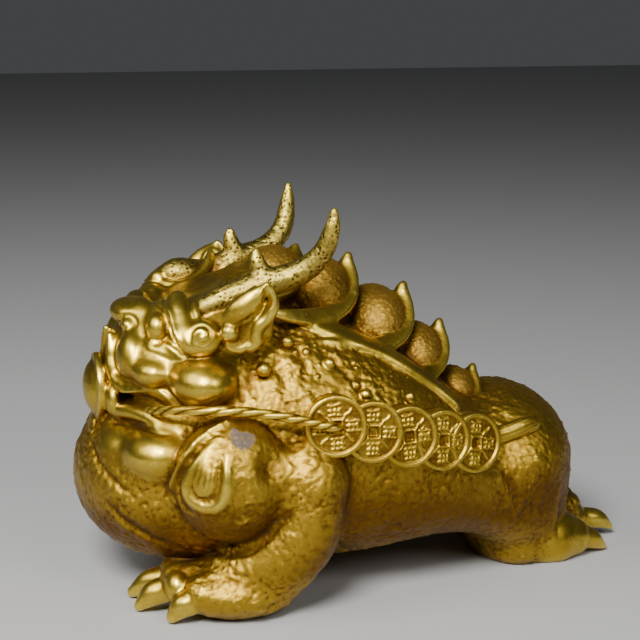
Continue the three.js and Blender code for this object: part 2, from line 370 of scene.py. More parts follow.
def trunk():
    """Upright sections along the body: y, half width, top and bottom."""
    stations = np.array([
        (-90, 8, 58, 30), (-84, 15, 62, 24), (-74, 31, 74, 14), (-60, 42, 84, 10),
        (-45, 45, 92, 9), (-28, 46, 93, 9), (-10, 46, 87, 9), (6, 45, 79, 11),
        (20, 42, 69, 12.5), (33, 38, 59, 11.5), (46, 33, 52, 6), (60, 26, 46, 4),
    ], float)
    fine = smooth_path(stations, steps=8)
    back_power, belly_power, middle_share = 2.2, 2.5, 0.42

    def measure(x, y, z):
        half, top, bottom = (np.interp(y, fine[:, 0], fine[:, k]).astype(np.float32) for k in (1, 2, 3))
        middle = bottom + middle_share * (top - bottom)
        up = z - middle
        height = np.where(up > 0, top - middle, middle - bottom)
        power = np.where(up > 0, back_power, belly_power)
        near = (np.abs(x / half) ** power + np.abs(up / height) ** power) ** (1 / power)
        radius = np.sqrt(x * x + up * up)
        side = radius * (1 - 1 / np.maximum(near, 1e-3))
        ends = np.maximum(fine[0, 0] - y, y - fine[-1, 0])
        return np.maximum(side, ends)

    widest, lowest, highest = 47, 2, 94
    return Form((-widest, stations[0, 0], lowest), (widest, stations[-1, 0], highest), measure)


def body(clay):
    chest = ball([0, -68, 37], [38, 29, 27], tilt=8)
    rump = ball([0, 48, 35], [34, 25.5, 25])
    thighs = ball([0, 52, 20], [27, 20, 18])
    for form, blend in ((trunk(), 0), (chest, 5), (rump, 6), (thighs, 8)):
        clay.add(form, blend, PITTED)


def hind_foot(clay):
    sole = ball([0, 52.5, 5.5], [25, 14.5, 9.8])
    instep = ball([0, 69, 12], [9, 12, 8.5], tilt=-6)
    outer_toe = ball([14.5, 64, 7.2], [10.5, 12, 9.8], turn=10)
    outer_knuckle = rope([(14.4, 66, 7.4), (14.8, 72, 6.4)], [7.6, 6.8])
    outer_claw = [(574, 535, 15.2), (590, 538, 15.2), (605, 546.5, 14.4)]
    middle_toe = (569, 516, 0)
    middle_claw = [(582, 517, 0), (597, 518.5, 0), (611, 527, 0)]
    clay.add(sole, 5, PITTED)
    clay.add_pair(outer_toe, 3)
    clay.add(instep, 3, PITTED)
    clay.add_pair(outer_knuckle, 1.5)
    clay.add(lump(middle_toe, [7, 6, 5.4]), 1.2)
    clay.add_pair(bar(outer_claw, [4.1, 3.6, 0.9]), 0.2)
    clay.add(bar(middle_claw, [3.7, 3.3, 0.9]), 0.2)


def front_leg():
    """The left front leg, on a grid of its own."""
    leg = Clay([14, -88, -4], [61, -6, 72])
    shoulder = ball([42, -52, 45], [15.5, 18.5, 19.5])
    elbow = ball([44.5, -29, 43], [11, 12.5, 14.5])
    shin = rope([(45, -28, 42), (45, -31, 28), (41, -40, 17), (37, -50, 10)], [11, 12, 13, 12])
    foot = ball([36, -50, 8], [17, 20, 9])
    for form, blend in ((shoulder, 0), (elbow, 5), (shin, 3), (foot, 3)):
        leg.add(form, blend, PITTED)
    toes = (
        ((27, -56, 9), (23.5, -67, 9.5), (22, -72, 7), (18.8, -81, 2.2)),
        ((34, -58, 9.5), (32.5, -68.5, 10), (31.8, -73, 7), (31, -80.4, 2.3)),
        ((42, -54, 8.5), (43.4, -62, 9), (43.6, -66, 7), (43.4, -72, 2.4)),
    )
    for root, knuckle, base, tip in toes:
        leg.add(rope([root, knuckle], [6, 5.8]), 2, PITTED)
        arch = np.array(base) * 0.55 + np.array(tip) * 0.45 + [0, 0, 0.8]
        leg.add(rope([base, arch, tip], [4.3, 3.8, 1.9]), 0.3)
    claw_root, toe_swelling = (177, 587, 37), (205, 594, 44.5)
    leg.add(lump(claw_root, [5.2, 4, 5.2]), 0.8)
    leg.add(lump(toe_swelling, [4.2, 3.8, 3.8]), 1.0, PITTED)
    # A hollow between the shoulder and the elbow, and the seam under the shoulder.
    elbow_hollow = (272, 463)
    leg.cut(ball(sight(leg, [elbow_hollow])[0] + [3, 0, 0], [4.5, 4, 5]), 3)
    seam = [(179, 507), (184, 523), (190, 537), (201, 547), (213, 552), (229, 554), (245, 553),
            (258, 547), (270, 535), (281, 523), (290, 514)]
    leg.cut(surface_line(leg, seam, (0.7, 1.3), 0.3), 1.2)
    # A raised edge runs round the top of the shoulder, with a groove inside it.
    edge = [(176, 505), (173, 495), (176, 480), (184, 461), (195, 446), (207, 435), (222, 425),
            (245, 418), (268, 417), (287, 420), (299, 426), (306, 436), (307, 446)]
    edge_radii = [0.6, 1.2, 1.3, 1.3, 1.3, 1.1, 1, 0.9, 0.9, 0.9, 0.8, 0.8, 0.5]
    leg.add(surface_line(leg, edge, edge_radii, 0.2), 1, PITTED)
    groove = [(203, 446), (190, 461), (181, 476), (178, 490), (182, 504), (192, 513)]
    leg.cut(surface_line(leg, groove, [0.8, 1.5, 1.7, 1.6, 1.3, 0.7], 0.3), 0.8)
    # A looped curl with flowing lines in it.
    curl = [(215, 441), (205, 452), (195, 466), (188, 477), (186, 487), (189, 498), (198, 506),
            (209, 509), (219, 506), (226, 495), (227, 480), (227, 466), (228, 457)]
    curl_radii = [0.6, 1.2, 1.6, 1.8, 1.9, 1.9, 1.8, 1.7, 1.7, 1.8, 1.8, 1.4, 0.7]
    leg.add(surface_line(leg, curl, curl_radii, -0.5), 1.2)
    flowing = (
        [(210, 451), (202, 466), (196, 477), (195, 486), (199, 494), (206, 495), (211, 489),
         (213, 477), (215, 466)],
        [(209, 461), (204, 472), (200, 483), (201, 489), (205, 489), (207, 480), (209, 469)],
    )
    for line in flowing:
        leg.add(surface_line(leg, line, (0.35, 0.65), 0.15), 0.3)
    hook = [(219, 452), (220, 466), (219, 480), (217, 491), (211, 499), (202, 499)]
    leg.cut(surface_line(leg, hook, [0.4, 0.6, 0.7, 0.7, 0.5, 0.3], 0.2), 0.6)
    scars = (
        [(236, 524), (254, 522)], [(242, 518), (247, 528)], [(238, 528), (250, 519)],
        [(247, 503), (263, 501)], [(252, 497), (256, 508)], [(243, 476), (251, 480)],
        [(270, 531), (278, 524), (287, 518)], [(266, 541), (275, 533), (284, 527)],
    )
    for line in scars:
        leg.add(surface_line(leg, line, (0.45, 0.45), 0.1), 0.4, PITTED)
    return leg


def head(clay):
    clay.add(ball([0, -52, 86], [33, 22, 14], tilt=-16), 4)
    clay.add(ball([0, -38, 95.5], [17, 20, 10], tilt=-24), 4, PITTED)
    # The hollow between the brows.
    clay.cut(ball([0, -59, 102.6], [15, 13, 6.4], tilt=-10), 3)
    # The lower jaw and the chins.
    chin, jowl = (126, 443, 14.5), (163, 452, 28.5)
    clay.add(ball([0, -63, 59.5], [34, 21.5, 12.5]), 2)
    clay.add(ball([0, -78, 55], [14, 9, 8]), 3)
    clay.add_pair(lump(chin, [10.5, 7.8, 6]), 4)
    clay.add_pair(lump(jowl, [12.4, 12, 8.6]), 4)
    # The muzzle and the cheeks, over one full face.
    muzzle, muzzle_side, cheek, under_eye = (130, 355, 15), (153, 370, 22), (204.5, 381, 32), (168, 350, 20)
    lip_groove_edge = [(110, 334, 5), (111, 350, 6.5), (112, 366, 8)]
    clay.add(ball([0, -57, 77], [35, 22.5, 17]), 3)
    clay.add(ball([0, -74, 78], [16, 10.5, 12]), 2)
    clay.add_pair(lump(muzzle, [7.5, 4.4, 7.6], tilt=8), 3)
    clay.add_pair(lump(muzzle_side, [9.5, 6.8, 5.4]), 3)
    clay.add_pair(lump(cheek, [12.5, 10.4, 8.2]), 3)
    clay.add_pair(lump(under_eye, [8, 9, 6]), 2.5)
    clay.add_pair(bar(lip_groove_edge, [1.2, 1.8, 1.9]), 1.8)
    # The nose, and its bridge that runs down into the muzzle.
    nose_side, nose_top, bridge = (144, 326, 7.5), (131, 310, 3), (139, 338, 11.5)
    nostril, nostril_bead = (115.5, 332, 10), (127.5, 325, 12.2)
    clay.add_pair(lump(nose_side, [9, 5.4, 9]), 2.5)
    clay.add(lump(nose_top, [9.8, 6.8, 4.2]), 2.5)
    clay.add_pair(lump(bridge, [6.5, 4.6, 5.2]), 3)
    clay.cut_pair(lump(nostril, [5, 2.4, 2.2]), 1)
    clay.add_pair(lump(nostril_bead, [2.4, 2.0, 2.2]), 0.4)
    # Full lips, open between, with a hollow beside the tongue.
    tongue_hollow = (116, 393, 14)
    upper_lip = [(112, 364, 8), (116, 379, 10.5), (127, 387, 15), (142, 388, 20), (157, 389.5, 24.5),
                 (168, 396, 27.5), (176, 405, 29.5)]
    lower_lip = [(114, 414, 9), (123, 411, 14.5), (135, 412.5, 19.6), (147, 416.5, 24.2),
                 (158, 422, 28), (169, 428, 30.5)]
    gap = [(119, 396.5, 13.5), (131, 397.5, 18.5), (146, 399.5, 23.5), (159, 404.5, 27.5)]
    clay.cut_pair(lump(tongue_hollow, [7, 3.4, 6.4]), 1)
    clay.add_pair(bar(upper_lip, [1.8, 2.3, 2.6, 2.7, 2.6, 2.3, 1.2]), 1.5)
    clay.add_pair(bar(lower_lip, [1.6, 2.6, 2.8, 2.8, 2.4, 1.2]), 0.9)
    clay.cut_pair(bar(gap, [1.2, 1.7, 1.7, 0.6]), 0.4)
    # A domed disc in the mouth, carried by the tongue.
    tongue_side = (112.5, 399, 10.5)
    clay.add(ball([0, -79, 65], [6, 9.5, 5.5]), 1)
    clay.add_pair(lump(tongue_side, [4.6, 2.5, 5.4]), 0.3)
    clay.add(disc([0, -88.3, 66.4], 11.2, 1.4), 0.3)
    clay.add(ball([0, -87.7, 66.4], [9.8, 5.5, 9.8]), 0.2)


def face_lines(clay):
    """Lips, lids and creases, drawn over the polished face."""
    lip_edge = [(121, 392), (134, 391), (146, 390), (160, 392), (169, 399), (176, 406)]
    under_lip = [(113, 423), (125, 422), (138, 425), (149, 430), (160, 434.5), (169, 435)]
    upper_lid = np.array([(158, 304), (165, 311), (168.5, 321), (171, 332), (175.5, 343)])
    lower_lid = [(149, 341), (157, 342.5), (166, 345), (175, 352), (183, 358)]
    eye_fold = [(143, 344), (147, 351), (155, 354), (165, 358), (177, 362), (190, 359), (205, 357)]
    nostril_curl = [(120, 323), (122, 317), (128, 315), (134, 318), (136, 325), (133, 332)]
    brow_curl = [(190, 344), (190, 335), (194, 328), (201, 325), (208, 328), (211, 335), (208, 342),
                 (202, 344.5), (197, 341), (198, 335.5), (203, 334)]
    cheek_crease = [(236, 366), (240, 382), (242, 400)]

    def ridge(line, radii, lift, blend):
        clay.add_pair(surface_line(clay, line, radii, lift), blend)

    def groove(line, radii, lift, blend):
        clay.cut_pair(surface_line(clay, line, radii, lift), blend)

    ridge(lip_edge, [0.5, 0.7, 0.7, 0.7, 0.7, 0.4], 0.1, 0.6)
    groove(under_lip, [0.6, 1.1, 1.3, 1.3, 1.0, 0.4], 0.3, 0.8)
    # Two lids over the eye, side by side.
    for shift, size in ((0, 0.95), (5, 0.9)):
        ridge(upper_lid + (shift, 0), (0.6, size), 0.3, 0.4)
    ridge(lower_lid, (0.5, 0.8), -0.2, 0.8)
    groove(eye_fold, (0.4, 0.6), 0.4, 0.7)
    groove(nostril_curl, [0.4, 0.6, 0.7, 0.7, 0.7, 0.3], 0.2, 0.3)
    groove(brow_curl, (0.5, 0.8), 0.15, 0.3)
    groove(cheek_crease, [0.4, 0.8, 0.8], 0.3, 0.8)


def eyes_and_brows(clay):
    eye_mass, socket, eye = (165, 329, 14), (158, 327.5, 25.3), (157.5, 328, 20.9)
    brow = [(177, 300, 19), (179, 312, 24), (183, 325, 28), (187, 338, 31.5), (196, 347, 33.5),
            (208, 347, 34.5), (214, 339, 34.5)]
    brow_end = (203, 337, 32)
    brow_fold = [(194.5, 303, 25), (196, 312, 28), (199, 322, 31)]
    clay.add_pair(lump(eye_mass, [9.5, 7.4, 9.5]), 2)
    clay.cut_pair(lump(socket, [3.0, 4.3, 5.7]), 0.8)
    clay.add_pair(lump(eye, [4.1, 3.5, 4.6]), 0.25)
    clay.add_pair(bar(brow, [3.4, 3.6, 3.6, 3.7, 3.4, 2.7, 2.0], wide=(0.5, 1, 0.3), flat=0.9), 1.0)
    clay.add_pair(lump(brow_end, [5.6, 5.6, 5.4]), 1)
    clay.add_pair(bar(brow_fold, [0.7, 1.3, 0.9]), 1.2)


def horns(clay):
    horn = [(22.5, -57.5, 95), (22, -48, 98.6), (23, -37, 102.2), (25, -27, 105.5),
            (28, -20.5, 111.5), (31, -18, 119.5), (32, -17.4, 125.6)]
    prong = [(22, -38, 103), (22, -39.8, 109), (21.5, -40, 112.4)]
    clay.add_pair(rope(horn, [3.6, 4.6, 4.6, 4.1, 3.5, 2.7, 1.3]), 0.8, HORN)
    clay.add_pair(rope(prong, [3.8, 2.6, 1.3]), 1.5, HORN)
    # The inner side of the right root is seen: a pitted knob in a rim that rises behind it.
    root = [(153, 299, -18), (158, 286, -21), (167, 274, -24.5), (182, 267, -27), (198, 265, -28)]
    knob = (180, 272.5, -20.5)
    rim = [(157, 276, -20), (161, 282, -17), (170, 285.5, -14), (182, 285, -13), (193, 280, -13.5),
           (203, 271, -16), (209, 259, -20), (211, 247, -23)]
    clay.add(bar(root, [3.6, 4.4, 3.8, 3.0, 2.2]), 1.5)
    clay.add(lump(knob, [6, 7.2, 5.1]), 0.6, HORN)
    clay.add(bar(rim, [0.8, 1.6, 1.9, 2.0, 2.0, 2.1, 2.1, 0.9], wide=(0, 0.4, 1), flat=0.8), 0.4)


def ears(clay):
    root, leaf, bead = (247, 330, 36.5), (257, 314, 37), (229.5, 332.5, 39.6)
    top = [(228, 320, 38), (240, 312.5, 40), (255, 299, 41), (267, 284, 41.5)]
    rim = [(267.5, 283, 41), (273, 294, 41), (273, 307, 41), (267, 318, 40.5), (259, 326, 40.5),
           (256.5, 334, 40.5), (256.5, 342, 40), (249, 348, 39.5), (238, 350, 38.5), (227, 347, 37.5)]
    hollow = [(267, 290, 42.5), (267, 301, 42.5), (260, 313, 42.5), (250, 320.5, 42.5), (240, 325, 42)]
    clay.add_pair(lump(root, [3.6, 8.2, 7]), 1.5)
    clay.add_pair(lump(leaf, [2.6, 5.4, 9]), 1.0)
    clay.add_pair(bar(top, [3.0, 4.2, 3.6, 0.7], wide=(0, -1, 1), flat=0.75), 0.5)
    clay.add_pair(bar(rim, [0.7, 1.4, 2.0, 2.1, 1.9, 1.8, 1.9, 1.8, 1.4, 0.8]), 1.2)
    clay.cut_pair(bar(hollow, [0.9, 1.7, 1.8, 1.5, 0.7]), 0.3)
    clay.add_pair(lump(bead, [3, 3.1, 3.1]), 0.2)


def crests(clay):
    """Stippled humps along the back, each held by a smooth petal that rises behind it."""
    # Each petal's tip along Y and Z, and its size.
    tips = [(-21.5, 111, 0.75), (-3.5, 107.4, 1.0), (15.7, 96.7, 1.0), (28.6, 83.3, 0.9), (40.8, 66.9, 0.72)]
    # Half of one petal, from its tip: across, behind and above the tip, and its half width.
    petal = [(0, -0.9, -1.4, 1.3), (1.8, -1.6, -4.2, 2.4), (6.5, -2.0, -8.8, 3.1), (12, -4.6, -13.7, 3.4),
             (17.5, -10.7, -16.9, 3.4), (22, -19, -17, 3.1), (26, -28.5, -15, 2.0), (27.5, -37, -12.5, 0.5)]
    # The petal's broad direction, flaring out and back from the hump.
    flare = np.array([(0.3, 1, 0.3), (0.4, 1, 0.2), (0.6, 1, 0), (0.6, 0.9, -0.4), (0.5, 0.6, -0.7),
                      (0.4, 0.4, -0.9), (0.3, 0.3, -0.9), (0.3, 0.2, -0.9)])
    thick = 1.3
    for y, z, scale in tips:
        tip = np.array([0, y, z])
        hump = tip + np.array([0, -11.6, -13.8]) * scale
        clay.add(ball(hump, np.array([16, 11.6, 13]) * scale), 0.4, STIPPLED)
        line = np.array(petal)[:, :3] * scale + tip
        half = np.array(petal)[:, 3] * scale
        clay.add_pair(rope(line, half, wide=flare, flat=thick / np.maximum(half, thick), power=3), 0.4)


def flank_folds(clay):
    """The smooth fold that gathers the petals' lower ends and sweeps down the flank."""
    fold = [(287, 315), (305, 322.5), (329, 331), (357, 342.5), (381, 352.5), (407, 368.5), (433, 387),
            (455, 408.5)]
    half_widths = [1.0, 3.4, 4.5, 4.4, 4.1, 3.6, 2.9, 1.2]
    clay.add_pair(band(clay, fold, half_widths, thickness=2.0, lift=0.4), 1.8)


def warts(clay):
    """Round warts on the flank, each in a shallow ring: its pixel and its size."""
    places = ((264, 371, 2.1), (287, 343, 1.8), (330, 363, 1.9), (366, 394, 1.8), (357, 385, 1.1),
              (411, 397, 1.2), (306, 352, 1.1), (318, 376, 0.9), (262, 345, 0.9))
    for across, down, size in places:
        at = sight(clay, [(across, down)])[0]
        clay.cut_pair(ball(at, [size * 1.3] * 3), 1.5)
        sunk = at - clay.slope(at[None])[0] * 0.4
        clay.add_pair(ball(sunk, [size * 1.1] * 3), 0.6, POLISHED if size > 1.5 else PITTED)


def skin_folds(clay):
    """Slack folds on the flank and across the chest, each a drawn line and its radius."""
    folds = (
        ([(246, 352), (252, 366), (250, 382), (256, 398)], 1.2),
        ([(278, 352), (276, 366), (284, 380), (282, 396)], 1.3),
        ([(300, 338), (297, 352), (306, 366), (303, 384)], 1.2),
        ([(322, 350), (340, 366), (352, 380)], 1.0),
        ([(106, 501), (122, 519), (140, 532), (162, 543), (182, 549)], 1.6),
        ([(92, 440), (98, 462), (112, 480), (130, 492)], 1.2),
        ([(500, 470), (512, 486), (518, 505)], 1.2),
    )
    for line, size in folds:
        clay.cut_pair(surface_line(clay, line, (0.4, size), 0.4 * size), 1.5)


# From the grid to a mesh.

def skin(field):
    """Surface nets: one corner for each cell that the surface passes through."""
    inside = field < 0
    shape = np.array(field.shape) - 1
    count = np.zeros(shape, np.uint8)
    for i, j, k in product((0, 1), repeat=3):
        count += inside[i:shape[0] + i, j:shape[1] + j, k:shape[2] + k]
    active = (count > 0) & (count < 8)
    cells = np.argwhere(active)
    number = np.full(shape, -1, np.int32)
    number[active] = np.arange(len(cells))
    place = np.zeros((len(cells), 3))
    hits = np.zeros(len(cells))
    for axis in range(3):
        step = np.eye(3, dtype=int)[axis]
        others = [a for a in range(3) if a != axis]
        for corner in product((0, 1), repeat=2):
            start = cells.copy()
            start[:, others] += corner
            a, b = (field[tuple(end.T)].astype(float) for end in (start, start + step))
            cross = (a < 0) != (b < 0)
            t = np.where(cross, a / np.where(cross, a - b, 1), 0)
            place += np.where(cross[:, None], start + t[:, None] * step, 0)
            hits += cross
    place /= hits[:, None]
    quads = []
    for axis in range(3):
        others = [(axis + 1) % 3, (axis + 2) % 3]
        a, b = (inside[tuple(along if k == axis else slice(1, -1) for k in range(3))]
                for along in (slice(0, -1), slice(1, None)))
        edges = np.argwhere(a != b)
        leaving = a[tuple(edges.T)]
        ring = []
        for corner in ((0, 0), (1, 0), (1, 1), (0, 1)):
            cell = edges.copy()
            cell[:, others] += corner
            ring.append(number[tuple(cell.T)])
        ring = np.stack(ring, 1)
        ring[~leaving] = ring[~leaving][:, ::-1]
        quads.append(ring)
    return place, np.vstack(quads), cells[:, 1]


def mesh_from(clay):
    """The clay's skin, with each corner moved onto it, and the layer of the grid that it is in."""
    place, quads, layers = skin(clay.field)
    points = clay.low + place * VOXEL
    for _ in range(2):
        points -= clay.slope(points) * np.clip(clay.sample(points), -VOXEL, VOXEL)[:, None]
    return points, quads, layers


def stamp(clay, leg, shift=0, mirror=False):
    """Joins a piece sculpted on its own grid to the whole."""
    field, finish = leg.field, leg.finish
    low = leg.low.copy()
    if mirror:
        field, finish = field[::-1], finish[::-1]
        low[0] = -(leg.low[0] + (leg.count[0] - 1) * VOXEL)
    low[1] += shift
    start = np.rint((low - clay.low) / VOXEL).astype(int)
    first = np.maximum(start, 0)
    last = np.minimum(start + field.shape, clay.count)
    part = tuple(slice(a, b) for a, b in zip(first, last))
    own = tuple(slice(a - s, b - s) for a, b, s in zip(first, last, start))
    clay.finish[part] = np.where(field[own] < clay.field[part], finish[own], clay.finish[part])
    clay.field[part] = joined(clay.field[part], field[own], LEG_BLEND)


# The right front leg stands this far behind the left one.
STRIDE = 24
LEG_BLEND = 1.5


def sculpt():
    clay = Clay(LOW, HIGH)
    for carve in (body, hind_foot, flank_folds, crests, head, eyes_and_brows, horns, ears):
        carve(clay)
    clay.soften()
    for carve in (face_lines, skin_folds, warts):
        carve(clay)
    leg = front_leg()
    stamp(clay, leg)
    stamp(clay, leg, shift=STRIDE, mirror=True)
    # The soles are cut flat.
    ground = Form([-99, -120, -99], [99, 120, 0], lambda x, y, z: z + 0 * x + 0 * y)
    clay.cut(ground, 0)
    clay.soften()
    return clay


# The skin's fine relief, its patina and its painted shade.

# Noise repeats after so many cells. A dot keeps this share of its cell's width from its sides.
LATTICE = 64
DOT_MARGIN = 0.15


def random_lattice(seed, depth):
    return np.random.default_rng(seed).random((LATTICE, LATTICE, LATTICE, depth)).astype(np.float32)


VALUES = random_lattice(11, 1)[..., 0]
DOTS = random_lattice(12, 4)


def noise(points, size, seed):
    """Smooth noise from -1 to 1 with features of about this size."""
    at = points / size + 7.31 * seed
    base = np.floor(at).astype(int)
    share = at - base
    share = share * share * (3 - 2 * share)
    total = np.zeros(len(at))
    for corner in product((0, 1), repeat=3):
        weight = np.prod(np.where(corner, share, 1 - share), axis=1)
        total += weight * VALUES[tuple(((base + corner) % LATTICE).T)]
    return total * 2 - 1


def nearest_dot(points, size, seed):
    """The distance to the nearest scattered dot, one in each cell, and that dot's random number."""
    at = points / size + 3.17 * seed
    base = np.floor(at).astype(int)
    best = np.full(len(at), 9.0)
    own = np.zeros(len(at))
    for step in product((-1, 0, 1), repeat=3):
        corner = base + step
        found = DOTS[tuple((corner % LATTICE).T)]
        dot = corner + DOT_MARGIN + (1 - 2 * DOT_MARGIN) * found[:, :3]
        away = np.linalg.norm(at - dot, axis=1)
        closer = away < best
        best = np.where(closer, away, best)
        own = np.where(closer, found[:, 3], own)
    return best * size, own


def bump(distance, radius):
    """1 at a dot's middle, falling smoothly to 0 at this radius."""
    share = np.clip(1 - (distance / radius) ** 2, 0, 1)
    return share * share


def ease(values, low, high):
    share = np.clip((values - low) / (high - low), 0, 1)
    return share * share * (3 - 2 * share)


def edges_of(quads):
    return np.concatenate([quads[:, [k, (k + 1) % 4]] for k in range(4)])


def spread(values, edges, rounds):
    """Evens values out over a mesh, neighbour by neighbour."""
    count = len(values)
    both = np.concatenate([edges, edges[:, ::-1]])
    shares = np.maximum(np.bincount(both[:, 0], minlength=count), 1)
    for _ in range(rounds):
        values = 0.5 * values + 0.5 * np.bincount(both[:, 0], values[both[:, 1]], count) / shares
    return values


def pitted_skin(points):
    """Hammered and wrinkled skin, with pits, and raised grains, most of them towards the rear."""
    warped = points + 0.8 * np.stack([noise(points, 4.2, k) for k in (1, 2, 3)], 1)
    strength = 0.68 + 0.45 * noise(points, 14, 4)
    lumps = 0.24 * noise(warped, 5.5, 5) + 0.26 * noise(warped, 2.9, 6) + 0.28 * noise(warped, 1.7, 20)
    torn = ease(noise(points, 5, 19), -0.1, 0.4)
    ridges = 0.25 * bump(np.abs(noise(warped, 3.0, 8)), 0.3)
    cracks = 0.3 * bump(np.abs(noise(warped, 3.4, 7)), 0.25)
    creases = torn * (ridges - cracks)
    near, own = nearest_dot(points, 2.2, 9)
    pits = -0.36 * bump(near, 0.8) * (own < 0.5)
    near, own = nearest_dot(points, 2.7, 10)
    rear = ease(points[:, 1], 25, 40) * ease(-points[:, 2], -52, -38)
    neck = ease(points[:, 2], 55, 62)
    grains = 0.44 * bump(near, 0.8) * (own < 0.65) * np.maximum(0.35 + 0.65 * rear, neck)
    fine = 0.2 * noise(points, 1.05, 11)
    return strength * (lumps + creases * (1 - 0.5 * rear) + pits + fine) + grains


def stippled_skin(points):
    """Small round grains, close together."""
    near, own = nearest_dot(points, 1.15, 12)
    return 0.32 * bump(near, 0.7) * (0.4 + 0.9 * own) + 0.12 * noise(points, 2.6, 13) - 0.15


def horn_skin(points):
    """Small round pits over shallow ripples. Also gives how far each place is in a pit."""
    near, own = nearest_dot(points, 1.3, 14)
    pit = bump(near, 0.66) * (own < 0.92)
    return -0.34 * pit + 0.12 * noise(points, 2.2, 15) + 0.07 * noise(points, 1.1, 16), pit


def polished_skin(points):
    """Slight waves, as smoothing by hand leaves them."""
    return 0.1 * noise(points, 6, 17) + 0.06 * noise(points, 2.4, 18) + 0.02 * noise(points, 1.1, 21)


def hollowness(clay, points, width, reach):
    """From -1 on a sharp edge to 1 in a deep hollow: how much metal there is around a place."""
    grid = np.clip(clay.field[::2, ::2, ::2], -reach, reach)
    for axis in range(3):
        row = np.moveaxis(grid, axis, 0)
        total = sum(row[k:len(row) - width + 1 + k] for k in range(width)) / width
        edge = width // 2
        row = np.concatenate([row[:edge], total, row[len(row) - edge:]])
        grid = np.moveaxis(row, 0, axis)
    return -sample(grid, (points - clay.low) / (2 * VOXEL)) / reach


def finish_weights(clay, points, edges):
    """How far each place has each finish, with soft borders."""
    at = np.rint((points - clay.low) / VOXEL).astype(int)
    at = np.clip(at, 0, clay.count - 1)
    kind = clay.finish[tuple(at.T)]
    return [spread((kind == wanted).astype(float), edges, rounds=5) for wanted in range(4)]


def dress(clay, points, quads):
    """Adds the relief and works out the values that colour the skin."""
    edges = edges_of(quads)
    pitted, polished, horn, stippled = finish_weights(clay, points, edges)
    horn_relief, horn_pits = horn_skin(points)
    relief = (pitted * pitted_skin(points) + polished * polished_skin(points)
              + horn * horn_relief + stippled * stippled_skin(points))
    # Soles stay flat.
    relief *= ease(points[:, 2], 0.3, 2.5)
    raised = relief - spread(relief, edges, rounds=12)
    near_hollow = hollowness(clay, points, width=3, reach=1.6)
    wide_hollow = hollowness(clay, points, width=9, reach=5.0)
    outward = clay.slope(points)
    # Painted shade lies under the overhangs, above the feet, and more of it behind the front legs.
    belly = ease(points[:, 1], -32, -18) * ease(-points[:, 2], -58, -38)
    under = ease(0.25 * belly - outward[:, 2], -0.1, 0.55) * ease(points[:, 2], 8, 24)
    under *= 0.25 + 0.75 * pitted
    points += outward * relief[:, None]
    return points, {
        "smooth": polished, "horn": horn, "grain": stippled,
        "pit": horn * horn_pits, "raised": raised, "hollow": near_hollow, "deep": wide_hollow,
        "under": under,
    }


def shoulder_mark(clay, points):
    """How far each place is in the grey-mauve spot on the left shoulder, with an uneven edge."""
    middle_pixel = (241, 438)
    inner, outer = 2.4, 4.6
    away = np.linalg.norm((points - sight(clay, [middle_pixel])[0]) * [0.8, 1, 1.25], axis=1)
    return ease(1.8 * noise(points, 3, 22) - away, -outer, -inner)


# Meshes.

VALUE_NAMES = ("smooth", "horn", "grain", "pit", "raised", "hollow", "deep", "under", "mark")


def put_in_scene(name, data):
    thing = bpy.data.objects.new(name, data)
    bpy.context.scene.collection.objects.link(thing)
    return thing


def new_piece(name, points, faces, values, normals=None):
    """A mesh in metres from millimetre points, with one value of each kind at every corner."""
    mesh = bpy.data.meshes.new(name)
    placed = (points + [0, ORIGIN_Y, 0]) * MM
    mesh.from_pydata(placed, [], faces)
    mesh.polygons.foreach_set("use_smooth", np.ones(len(mesh.polygons), bool))
    for key in VALUE_NAMES:
        data = mesh.attributes.new(key, "FLOAT", "POINT").data
        data.foreach_set("value", np.broadcast_to(values.get(key, 0.0), len(points)).astype(np.float32))
    mesh.update()
    if normals is not None:
        mesh.normals_split_custom_set_from_vertices(normals)
    piece = put_in_scene(name, mesh)
    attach(piece, "root")
    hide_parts("money_toad")
    mesh.materials.append(gold)


def flank_piece(name, points, faces, values, side):
    """A piece modelled on the left flank, where side is 1, or its mirror image where it is -1."""
    points[:, 0] *= side
    if side > 0:
        faces = [face[::-1] for face in faces]
    new_piece(name, points, faces, values)


def corner_normals(points, quads):
    across = points[quads[:, 2]] - points[quads[:, 0]]
    along = points[quads[:, 3]] - points[quads[:, 1]]
    face = np.cross(across, along)
    shares = [np.bincount(quads.ravel(), np.repeat(face[:, k], 4), len(points)) for k in range(3)]
    return unit(np.stack(shares, 1))


def rings_of(faces):
    """The open edges of some quads, chained into rings."""
    edges = edges_of(faces).astype(np.int64)
    many = faces.max() + 1
    keys, times = np.unique(edges[:, 0] * many + edges[:, 1], return_counts=True)
    back = keys % many * many + keys // many
    found = np.searchsorted(keys, back).clip(max=len(keys) - 1)
    met = np.where(keys[found] == back, times[found], 0)
    onward = {}
    for key, left in zip(keys[times > met].tolist(), (times - met)[times > met].tolist()):
        onward.setdefault(key // many, []).extend([key % many] * left)
    rings = []
    while onward:
        ring = [next(iter(onward))]
        while True:
            following = onward[ring[-1]]
            step = following.pop()
            if not following:
                del onward[ring[-1]]
            if step == ring[0]:
                break
            ring.append(step)
        rings.append(ring)
    return rings


# Where the skin is parted into meshes, along Y, and their names from the front.
PART_LINES = (-62, -38, -9, 27)
PART_NAMES = ("casting_face", "casting_crown", "casting_shoulders", "casting_back", "casting_rump")


